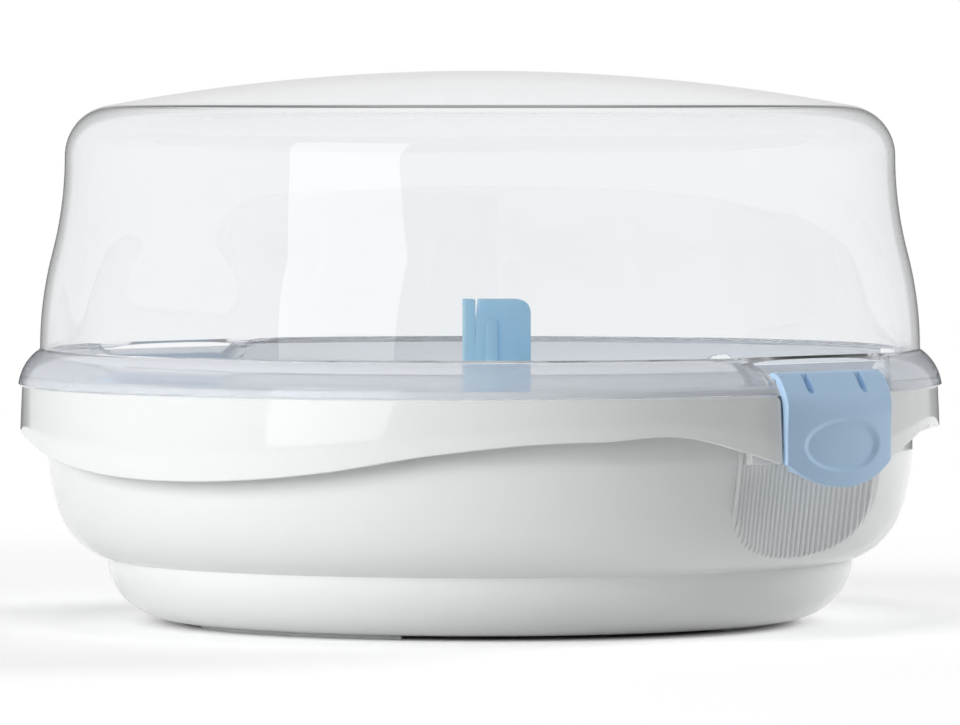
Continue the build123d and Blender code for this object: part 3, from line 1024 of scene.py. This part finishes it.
def make_tray():
    """Perforated white dish with a rim, four bottle rings, four pegs and the tongs' socket."""
    top = tray_height + tray_thickness
    rim_in = tray_radius - tray_rim_thickness
    dish = spun("dish", rounded(
        [
            (0, tray_height), (tray_radius, tray_height),
            (tray_radius, tray_height + tray_rim_height), (rim_in, tray_height + tray_rim_height),
            (rim_in, top), (0, top),
        ], [0, tray_foot_edge, tray_edge, tray_edge, tray_inner_radius, 0],
    ), 256)
    ring_in = bottle_ring_radius - bottle_ring_thickness
    ring = spun("ring", rounded(
        [
            (ring_in, top - union_overlap), (bottle_ring_radius, top - union_overlap),
            (bottle_ring_radius, top + bottle_ring_height), (ring_in, top + bottle_ring_height),
        ], [0, 0, tray_edge, tray_edge],
    ), 128, closed=True)
    slots = []
    for quarter in range(4):
        turn = pi / 2 * quarter
        x, y = bottle_circle * cos(turn), bottle_circle * sin(turn)
        combine(dish, "UNION", moved_to(twin(ring, "bottle_ring", 0), x, y))
        for eighth in range(8):
            a = pi / 4 * eighth
            reach = bottle_ring_radius / 2 + steam_slot_width / 2
            slots.append(slot(bottle_slot_length, a, (x + reach * cos(a), y + reach * sin(a))))
        a = turn + pi / 4
        peg = post("peg", peg_radius, top - union_overlap, top + peg_height, peg_radius / 3)
        combine(dish, "UNION", moved_to(peg, peg_circle * cos(a), peg_circle * sin(a)))
    bpy.data.objects.remove(ring)
    for number in range(edge_slot_count):
        a = pi / edge_slot_count + 2 * pi * number / edge_slot_count
        centre = (edge_slot_circle * cos(a), edge_slot_circle * sin(a))
        slots.append(slot(edge_slot_length, a, centre))
    length = tongs_width / 2 + tongs_slot_clearance + hub_wall
    depth = tongs_depth / 2 + arm_rib_height + tongs_slot_clearance + hub_wall
    outline = rounded(rectangle(length, depth), hub_wall + tongs_slot_clearance, 6)
    hub = prism(
        "hub", outline, tongs_along * tongs_offset + Vector((0, 0, top - union_overlap)),
        tongs_along, tongs_across, hub_height + union_overlap,
    )
    bevel(hub, hub_edge, 60)
    combine(dish, "UNION", hub)
    socket = prism(
        "socket", rectangle(length - hub_wall, depth - hub_wall), tongs_along * tongs_offset,
        tongs_along, tongs_across, far,
    )
    combine(dish, "DIFFERENCE", joined(*slots))
    combine(dish, "DIFFERENCE", socket)
    done(dish, "tray_rack", "tray", white, "white_plastic", "tray")


make_base()
make_lid()
make_clips()
make_tongs()
make_tray()


# Studio, in metres
table_radius = 1.25
backdrop_start = 0.25
backdrop_full = 0.55
lamp_aim_height = 0.08
view_azimuth = radians(40.7)
towards_camera = Vector((sin(view_azimuth), -cos(view_azimuth), 0))
to_the_right = Vector((cos(view_azimuth), sin(view_azimuth), 0))


def shown_rays(tree, *kinds):
    """1 for the kinds of ray named, such as Camera or Glossy, and 0 for the rest."""
    path = node(tree, "ShaderNodeLightPath")
    total = path.outputs[f"Is {kinds[0]} Ray"]
    for kind in kinds[1:]:
        either = node(
            tree, "ShaderNodeMath", {"operation": "MAXIMUM"},
            total, path.outputs[f"Is {kind} Ray"],
        )
        total = either.outputs[0]
    return total


def sweep():
    """White table that runs out into plain white, no brighter than the backdrop.

    What looks at it sees it lifted towards white, except close under the bowl, where the lift is
    left out so that the table round the foot is painted darker, a painted contact shadow.
    """
    bpy.ops.object.select_all(action="DESELECT")
    bpy.ops.mesh.primitive_circle_add(vertices=128, radius=table_radius, fill_type="NGON")
    table = bpy.context.object
    table.name = "table"
    material, tree, output = new_material("white_sweep")
    place = node(tree, "ShaderNodeTexCoord").outputs["Object"]
    away = node(tree, "ShaderNodeVectorMath", {"operation": "LENGTH"}, place).outputs["Value"]
    glow_with_painted_shade = node(tree, "ShaderNodeValToRGB", Fac=away)
    ramp = glow_with_painted_shade.color_ramp
    # Distance from the middle in metres, and the light added there; none close under the bowl,
    # which paints shade round its foot
    stops = ((0.0, 0.0), (0.088, 0.0), (0.104, 0.37), (0.3, 0.4))
    while len(ramp.elements) < len(stops):
        ramp.elements.new(0.5)
    for element, (at, level) in zip(ramp.elements, stops):
        element.position = at
        element.color = (level, level, level, 1)
    shown = shown_rays(tree, "Camera", "Glossy", "Transmission")
    lift = node(
        tree, "ShaderNodeMath", {"operation": "MULTIPLY"}, shown, glow_with_painted_shade.outputs["Color"],
    )
    fade = node(
        tree, "ShaderNodeMapRange", {"From Min": backdrop_start, "From Max": backdrop_full},
        Value=away,
    )
    run_out = node(
        tree, "ShaderNodeMath", {"operation": "MULTIPLY"}, shown, fade.outputs["Result"],
    )
    paper = node(tree, "ShaderNodeBsdfDiffuse", {"Color": colour("#EFEFEF")})
    glow = node(tree, "ShaderNodeEmission", {"Color": (1, 1, 1, 1)}, Strength=lift.outputs[0])
    both = node(tree, "ShaderNodeAddShader", {}, paper.outputs["BSDF"], glow.outputs["Emission"])
    backdrop = node(tree, "ShaderNodeEmission", {"Color": (1, 1, 1, 1), "Strength": 1.0})
    faded = node(
        tree, "ShaderNodeMixShader", {},
        run_out.outputs[0], both.outputs["Shader"], backdrop.outputs["Emission"],
    )
    tree.links.new(faded.outputs["Shader"], output.inputs["Surface"])
    table.data.materials.append(material)


def lamp(name, azimuth, elevation, distance, width, height, power, mirrored=True):
    """An area lamp that faces the object, placed in degrees from the camera and in metres.

    Azimuth is to the right and power in watts. Only a mirrored lamp shows in the gloss.
    """
    a, e = radians(azimuth), radians(elevation)
    away = (towards_camera * cos(a) + to_the_right * sin(a)) * cos(e) + Vector((0, 0, sin(e)))
    light = bpy.data.lights.new(name, "AREA")
    light.shape = "RECTANGLE"
    light.size, light.size_y, light.energy = width, height, power
    thing = bpy.data.objects.new(name, light)
    bpy.context.collection.objects.link(thing)
    thing.location = away * distance + Vector((0, 0, lamp_aim_height))
    thing.rotation_euler = away.to_track_quat("Z", "Y").to_euler()
    thing.visible_glossy = mirrored
    thing.visible_transmission = False


def walls():
    """White behind the object, and a room for the gloss to mirror.

    The room is darker in front and has a dark flag standing at each side of the white, which draws
    the edges of the clear and white pieces.
    """
    space = bpy.data.worlds.new("studio")
    bpy.context.scene.world = space
    space.use_nodes = True
    tree = space.node_tree
    tree.nodes.clear()
    output = tree.nodes.new("ShaderNodeOutputWorld")
    direction = node(tree, "ShaderNodeTexCoord").outputs["Generated"]
    shares = []
    for axis in (to_the_right, towards_camera):
        part = node(tree, "ShaderNodeVectorMath", {"operation": "DOT_PRODUCT"}, direction)
        part.inputs[1].default_value = axis
        shares.append(part.outputs["Value"])
    azimuth = node(tree, "ShaderNodeMath", {"operation": "ARCTAN2"}, *shares)
    turn = node(
        tree, "ShaderNodeMapRange", {"From Min": -pi, "From Max": pi}, Value=azimuth.outputs[0],
    )
    ring = node(tree, "ShaderNodeValToRGB", Fac=turn.outputs["Result"])
    # Angle to the right of the camera, in degrees, and brightness of the room there
    stops = (
        (-175, 0.8), (-174, 0.04), (-158, 0.06), (-153, 0.6), (-90, 0.5), (-55, 0.15),
        (50, 0.12), (90, 0.35), (152, 0.5), (156, 0.04), (174, 0.04), (175, 0.8),
    )
    while len(ring.color_ramp.elements) < len(stops):
        ring.color_ramp.elements.new(0.5)
    for element, (at, level) in zip(ring.color_ramp.elements, stops):
        element.position = (at + 180) / 360
        element.color = (level, level, level, 1)
    height = node(tree, "ShaderNodeSeparateXYZ", Vector=direction)
    # The ring gives way to one grey between 35 and 50 degrees up
    ceiling = node(
        tree, "ShaderNodeMapRange", {"From Min": sin(radians(35)), "From Max": sin(radians(50))},
        Value=height.outputs["Z"],
    )
    room = node(
        tree, "ShaderNodeMix", {"data_type": "RGBA", "B": (0.3, 0.3, 0.3, 1)},
        Factor=ceiling.outputs["Result"], A=ring.outputs["Color"],
    )
    mirrored = node(
        tree, "ShaderNodeBackground", {"Strength": 1.0}, Color=room.outputs["Result"],
    )
    lighting = node(tree, "ShaderNodeBackground", {"Color": (1, 1, 1, 1), "Strength": 0.1})
    paper = node(tree, "ShaderNodeBackground", {"Color": (1, 1, 1, 1), "Strength": 1.0})
    unseen = node(
        tree, "ShaderNodeMixShader", {}, shown_rays(tree, "Glossy"),
        lighting.outputs["Background"], mirrored.outputs["Background"],
    )
    seen = node(
        tree, "ShaderNodeMixShader", {}, shown_rays(tree, "Camera", "Transmission"),
        unseen.outputs["Shader"], paper.outputs["Background"],
    )
    tree.links.new(seen.outputs["Shader"], output.inputs["Surface"])


def camera():
    """The photograph's view, fitted as a long lens 2.4 m away."""
    distance, eye_height, aim_height = 2.376, 0.150, 0.078
    focal_pixels, frame_pixels = 7875.0, 960
    eye = bpy.data.cameras.new("camera")
    thing = bpy.data.objects.new("camera", eye)
    bpy.context.collection.objects.link(thing)
    eye.sensor_width = 36.0
    eye.lens = focal_pixels * eye.sensor_width / frame_pixels
    thing.location = towards_camera * distance + Vector((0, 0, eye_height))
    aim = Vector((0, 0, aim_height)) - thing.location
    thing.rotation_euler = aim.to_track_quat("-Z", "Y").to_euler()
    eye.clip_start, eye.clip_end = 0.05, 50.0
    bpy.context.scene.camera = thing


sweep()
walls()
lamp("soft_box", -36, 14, 1.5, 0.82, 0.86, 4.6)
lamp("left_key", -52, 14, 1.8, 1.2, 0.8, 18, mirrored=False)
lamp("right_rim", 120, 18, 1.8, 0.8, 0.6, 22, mirrored=False)
lamp("overhead", -20, 70, 1.6, 0.7, 0.5, 4.5, mirrored=False)
camera()
bpy.context.scene.view_settings.view_transform = "Standard"
# Light meets many clear walls before it comes out
bpy.context.scene.cycles.max_bounces = 24
bpy.context.scene.cycles.glossy_bounces = 12
bpy.context.scene.cycles.transmission_bounces = 16
